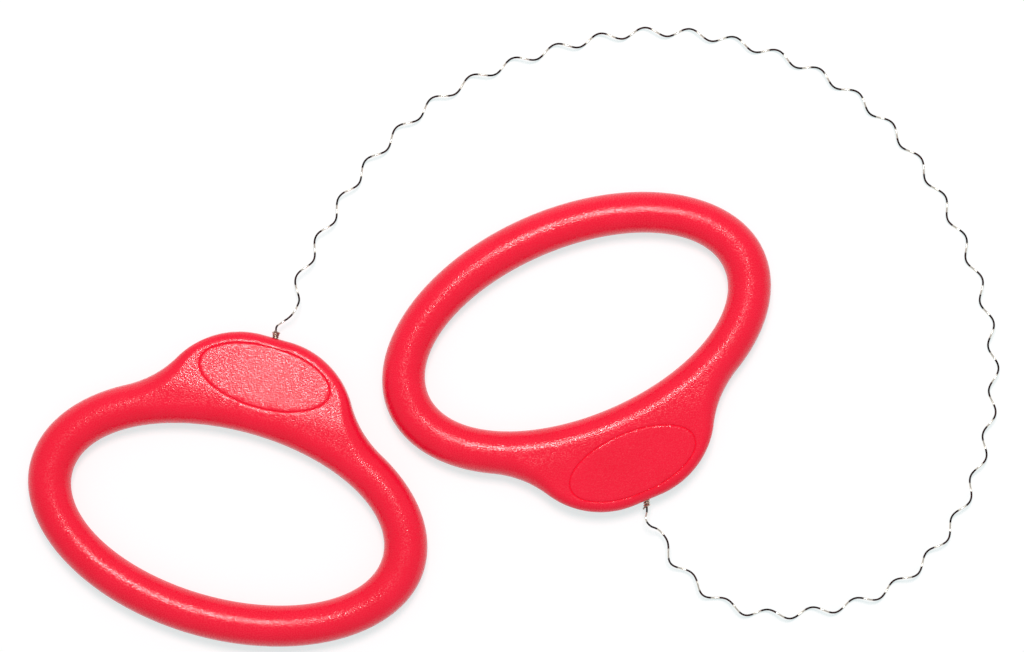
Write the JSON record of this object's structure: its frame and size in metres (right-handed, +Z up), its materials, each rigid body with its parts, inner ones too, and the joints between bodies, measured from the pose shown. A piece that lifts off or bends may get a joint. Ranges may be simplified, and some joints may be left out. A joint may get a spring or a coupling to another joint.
{
  "type": "clay cutter",
  "caption": "Clay cutter: a curled steel wire between two oval finger-ring handles, each with a swivel in its crown.",
  "frame": {"origin": "middle of the box round the two handles, on the surface that they lie on", "axes": "+X from the left handle to the right one, +Y towards the top of the wire's bow, +Z up from the surface"},
  "size_m": [0.2528, 0.1612, 0.0104],
  "materials": {
    "red_plastic": "satin moulding with a fine grain",
    "steel_wire": "bright drawn spring wire",
    "turned_steel": "turned",
    "brass_bush": "turned"
  },
  "bodies": {
    "wire": {"cutting_wire": "steel_wire", "left_wire_loop": "steel_wire", "right_wire_loop": "steel_wire"},
    "left_pin": {"left_swivel_pin": "turned_steel"},
    "right_pin": {"right_swivel_pin": "turned_steel"},
    "left_grip": {"left_handle": "red_plastic", "left_anchor_sleeve": "brass_bush", "left_anchor_cap": "brass_bush"},
    "right_grip": {"right_handle": "red_plastic", "right_anchor_sleeve": "brass_bush", "right_anchor_cap": "brass_bush"}
  },
  "joints": [
    {"name": "left_tilt", "type": "hinge", "parent": "wire", "child": "left_pin", "pos_m": [-0.03275, 0.01804, 0.0052], "axis": [0, 0, 1], "range_deg": [-4, 4]},
    {"name": "left_swivel", "type": "hinge", "parent": "left_pin", "child": "left_grip", "pos_m": [-0.03275, 0.01804, 0.0052], "axis": [0.2666, 0.9638, 0], "continuous": true},
    {"name": "right_tilt", "type": "hinge", "parent": "wire", "child": "right_pin", "pos_m": [0.06349, -0.01831, 0.0052], "axis": [0, 0, 1], "range_deg": [-4, 4]},
    {"name": "right_swivel", "type": "hinge", "parent": "right_pin", "child": "right_grip", "pos_m": [0.06349, -0.01831, 0.0052], "axis": [0.3912, -0.9203, 0], "continuous": true}
  ]
}
